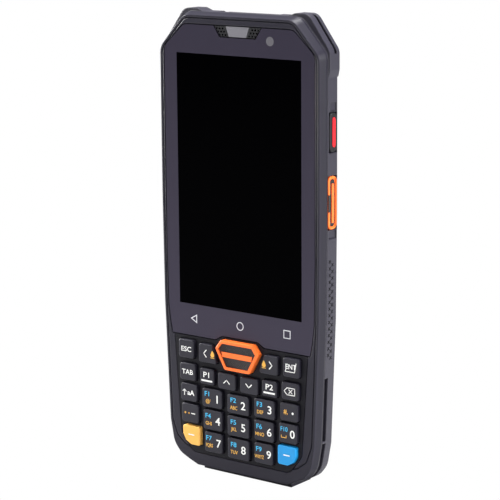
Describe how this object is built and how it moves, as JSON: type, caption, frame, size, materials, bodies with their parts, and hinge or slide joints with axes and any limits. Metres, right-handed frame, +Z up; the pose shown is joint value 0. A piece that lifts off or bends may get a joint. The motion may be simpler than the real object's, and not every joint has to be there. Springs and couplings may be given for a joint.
{
  "type": "portable barcode data terminal",
  "caption": "Upright handheld data terminal with a glass display, keypad, side buttons, lift-out battery and hinged port flap; stands on its foot or lies on its back.",
  "frame": {"origin": "middle of the bounding box's bottom face, under the foot", "axes": "+Z up along the height, -Y out of the display and keys, +X to the side with the power button"},
  "size_m": [0.069, 0.0196, 0.1618],
  "materials": {
    "case_plastic": "fine texture",
    "plate_plastic": "fine texture",
    "cover_glass": "printed glass",
    "display": "black panel",
    "gasket": "foam tape",
    "grille": "satin",
    "light_lens": "frosted",
    "camera_glass": "gloss",
    "inner_metal": "bare",
    "board": "solder mask",
    "can_metal": "tinned",
    "key_rubber": "satin",
    "key_yellow": "satin",
    "key_blue": "satin",
    "scan_orange": "satin",
    "red_button": "satin with a red bar",
    "soft_rubber": "matt",
    "module": "matt",
    "battery": "label wrap",
    "contact_gold": "plated",
    "screw_steel": "blackened"
  },
  "bodies": {
    "case": {"front_housing": "case_plastic", "keypad_plate": "plate_plastic", "touch_glass": "cover_glass", "display_module": "display", "glass_gasket": "gasket", "speaker_grille": "grille", "status_light_lens": "light_lens", "front_camera": "camera_glass", "earpiece": "module", "keypad_mat": "soft_rubber", "keypad_board": "board", "mid_frame": "inner_metal", "main_board": "board", "shield_cans": "can_metal", "rear_housing": "case_plastic", "rear_camera": "module", "rear_camera_window": "camera_glass", "scan_engine": "module", "scan_window": "camera_glass", "vibration_motor": "can_metal", "loudspeaker": "module", "usb_port": "can_metal", "usb_flap_pin": "screw_steel", "charging_contacts": "contact_gold", "housing_screws": "screw_steel"},
    "battery": {"battery_pack": "battery", "battery_cover": "case_plastic"},
    "latch": {"battery_latch": "case_plastic"},
    "port_flap": {"usb_flap": "soft_rubber"},
    "power": {"power_button": "red_button"},
    "trigger_right": {"scan_button_right": "scan_orange"},
    "trigger_left": {"scan_button_left": "scan_orange"},
    "volume": {"volume_rocker": "module"},
    "scan": {"scan_key": "scan_orange"},
    "press_escape": {"key_escape": "key_rubber"},
    "press_left": {"key_left": "key_rubber"},
    "press_right": {"key_right": "key_rubber"},
    "press_enter": {"key_enter": "key_rubber"},
    "press_tab": {"key_tab": "key_rubber"},
    "press_p1": {"key_p1": "key_rubber"},
    "press_up": {"key_up": "key_rubber"},
    "press_down": {"key_down": "key_rubber"},
    "press_p2": {"key_p2": "key_rubber"},
    "press_backspace": {"key_backspace": "key_rubber"},
    "press_shift": {"key_shift": "key_rubber"},
    "press_1": {"key_1": "key_rubber"},
    "press_2": {"key_2": "key_rubber"},
    "press_3": {"key_3": "key_rubber"},
    "press_dot": {"key_dot": "key_rubber"},
    "press_dash": {"key_dash": "key_rubber"},
    "press_4": {"key_4": "key_rubber"},
    "press_5": {"key_5": "key_rubber"},
    "press_6": {"key_6": "key_rubber"},
    "press_0": {"key_0": "key_rubber"},
    "press_yellow": {"key_yellow": "key_yellow"},
    "press_7": {"key_7": "key_rubber"},
    "press_8": {"key_8": "key_rubber"},
    "press_9": {"key_9": "key_rubber"},
    "press_blue": {"key_blue": "key_blue"}
  },
  "joints": [
    {"name": "key_escape_press", "type": "slide", "parent": "case", "child": "press_escape", "axis": [0, 1, 0], "range_m": [0, 0.0006], "stiffness_N_per_m": 1500},
    {"name": "key_left_press", "type": "slide", "parent": "case", "child": "press_left", "axis": [0, 1, 0], "range_m": [0, 0.0006], "stiffness_N_per_m": 1500},
    {"name": "key_right_press", "type": "slide", "parent": "case", "child": "press_right", "axis": [0, 1, 0], "range_m": [0, 0.0006], "stiffness_N_per_m": 1500},
    {"name": "key_enter_press", "type": "slide", "parent": "case", "child": "press_enter", "axis": [0, 1, 0], "range_m": [0, 0.0006], "stiffness_N_per_m": 1500},
    {"name": "key_tab_press", "type": "slide", "parent": "case", "child": "press_tab", "axis": [0, 1, 0], "range_m": [0, 0.0006], "stiffness_N_per_m": 1500},
    {"name": "key_p1_press", "type": "slide", "parent": "case", "child": "press_p1", "axis": [0, 1, 0], "range_m": [0, 0.0006], "stiffness_N_per_m": 1500},
    {"name": "key_up_press", "type": "slide", "parent": "case", "child": "press_up", "axis": [0, 1, 0], "range_m": [0, 0.0006], "stiffness_N_per_m": 1500},
    {"name": "key_down_press", "type": "slide", "parent": "case", "child": "press_down", "axis": [0, 1, 0], "range_m": [0, 0.0006], "stiffness_N_per_m": 1500},
    {"name": "key_p2_press", "type": "slide", "parent": "case", "child": "press_p2", "axis": [0, 1, 0], "range_m": [0, 0.0006], "stiffness_N_per_m": 1500},
    {"name": "key_backspace_press", "type": "slide", "parent": "case", "child": "press_backspace", "axis": [0, 1, 0], "range_m": [0, 0.0006], "stiffness_N_per_m": 1500},
    {"name": "key_shift_press", "type": "slide", "parent": "case", "child": "press_shift", "axis": [0, 1, 0], "range_m": [0, 0.0006], "stiffness_N_per_m": 1500},
    {"name": "key_1_press", "type": "slide", "parent": "case", "child": "press_1", "axis": [0, 1, 0], "range_m": [0, 0.0006], "stiffness_N_per_m": 1500},
    {"name": "key_2_press", "type": "slide", "parent": "case", "child": "press_2", "axis": [0, 1, 0], "range_m": [0, 0.0006], "stiffness_N_per_m": 1500},
    {"name": "key_3_press", "type": "slide", "parent": "case", "child": "press_3", "axis": [0, 1, 0], "range_m": [0, 0.0006], "stiffness_N_per_m": 1500},
    {"name": "key_dot_press", "type": "slide", "parent": "case", "child": "press_dot", "axis": [0, 1, 0], "range_m": [0, 0.0006], "stiffness_N_per_m": 1500},
    {"name": "key_dash_press", "type": "slide", "parent": "case", "child": "press_dash", "axis": [0, 1, 0], "range_m": [0, 0.0006], "stiffness_N_per_m": 1500},
    {"name": "key_4_press", "type": "slide", "parent": "case", "child": "press_4", "axis": [0, 1, 0], "range_m": [0, 0.0006], "stiffness_N_per_m": 1500},
    {"name": "key_5_press", "type": "slide", "parent": "case", "child": "press_5", "axis": [0, 1, 0], "range_m": [0, 0.0006], "stiffness_N_per_m": 1500},
    {"name": "key_6_press", "type": "slide", "parent": "case", "child": "press_6", "axis": [0, 1, 0], "range_m": [0, 0.0006], "stiffness_N_per_m": 1500},
    {"name": "key_0_press", "type": "slide", "parent": "case", "child": "press_0", "axis": [0, 1, 0], "range_m": [0, 0.0006], "stiffness_N_per_m": 1500},
    {"name": "key_yellow_press", "type": "slide", "parent": "case", "child": "press_yellow", "axis": [0, 1, 0], "range_m": [0, 0.0006], "stiffness_N_per_m": 1500},
    {"name": "key_7_press", "type": "slide", "parent": "case", "child": "press_7", "axis": [0, 1, 0], "range_m": [0, 0.0006], "stiffness_N_per_m": 1500},
    {"name": "key_8_press", "type": "slide", "parent": "case", "child": "press_8", "axis": [0, 1, 0], "range_m": [0, 0.0006], "stiffness_N_per_m": 1500},
    {"name": "key_9_press", "type": "slide", "parent": "case", "child": "press_9", "axis": [0, 1, 0], "range_m": [0, 0.0006], "stiffness_N_per_m": 1500},
    {"name": "key_blue_press", "type": "slide", "parent": "case", "child": "press_blue", "axis": [0, 1, 0], "range_m": [0, 0.0006], "stiffness_N_per_m": 1500},
    {"name": "scan_key_press", "type": "slide", "parent": "case", "child": "scan", "axis": [0, 1, 0], "range_m": [0, 0.0006], "stiffness_N_per_m": 1500},
    {"name": "power_press", "type": "slide", "parent": "case", "child": "power", "axis": [-1, 0, 0], "range_m": [0, 0.0005], "stiffness_N_per_m": 1500},
    {"name": "trigger_right_press", "type": "slide", "parent": "case", "child": "trigger_right", "axis": [-1, 0, 0], "range_m": [0, 0.0005], "stiffness_N_per_m": 1500},
    {"name": "trigger_left_press", "type": "slide", "parent": "case", "child": "trigger_left", "axis": [1, 0, 0], "range_m": [0, 0.0005], "stiffness_N_per_m": 1500},
    {"name": "volume_press", "type": "slide", "parent": "case", "child": "volume", "axis": [1, 0, 0], "range_m": [0, 0.0005], "stiffness_N_per_m": 1500},
    {"name": "port_flap_swing", "type": "hinge", "parent": "case", "child": "port_flap", "pos_m": [0, 0.00465, 0.0013], "axis": [1, 0, 0], "range_deg": [0, 100]},
    {"name": "battery_lift", "type": "slide", "parent": "case", "child": "battery", "axis": [0, 1, 0], "range_m": [0, 0.02]},
    {"name": "latch_slide", "type": "slide", "parent": "battery", "child": "latch", "axis": [0, 0, 1], "range_m": [0, 0.0025]}
  ]
}
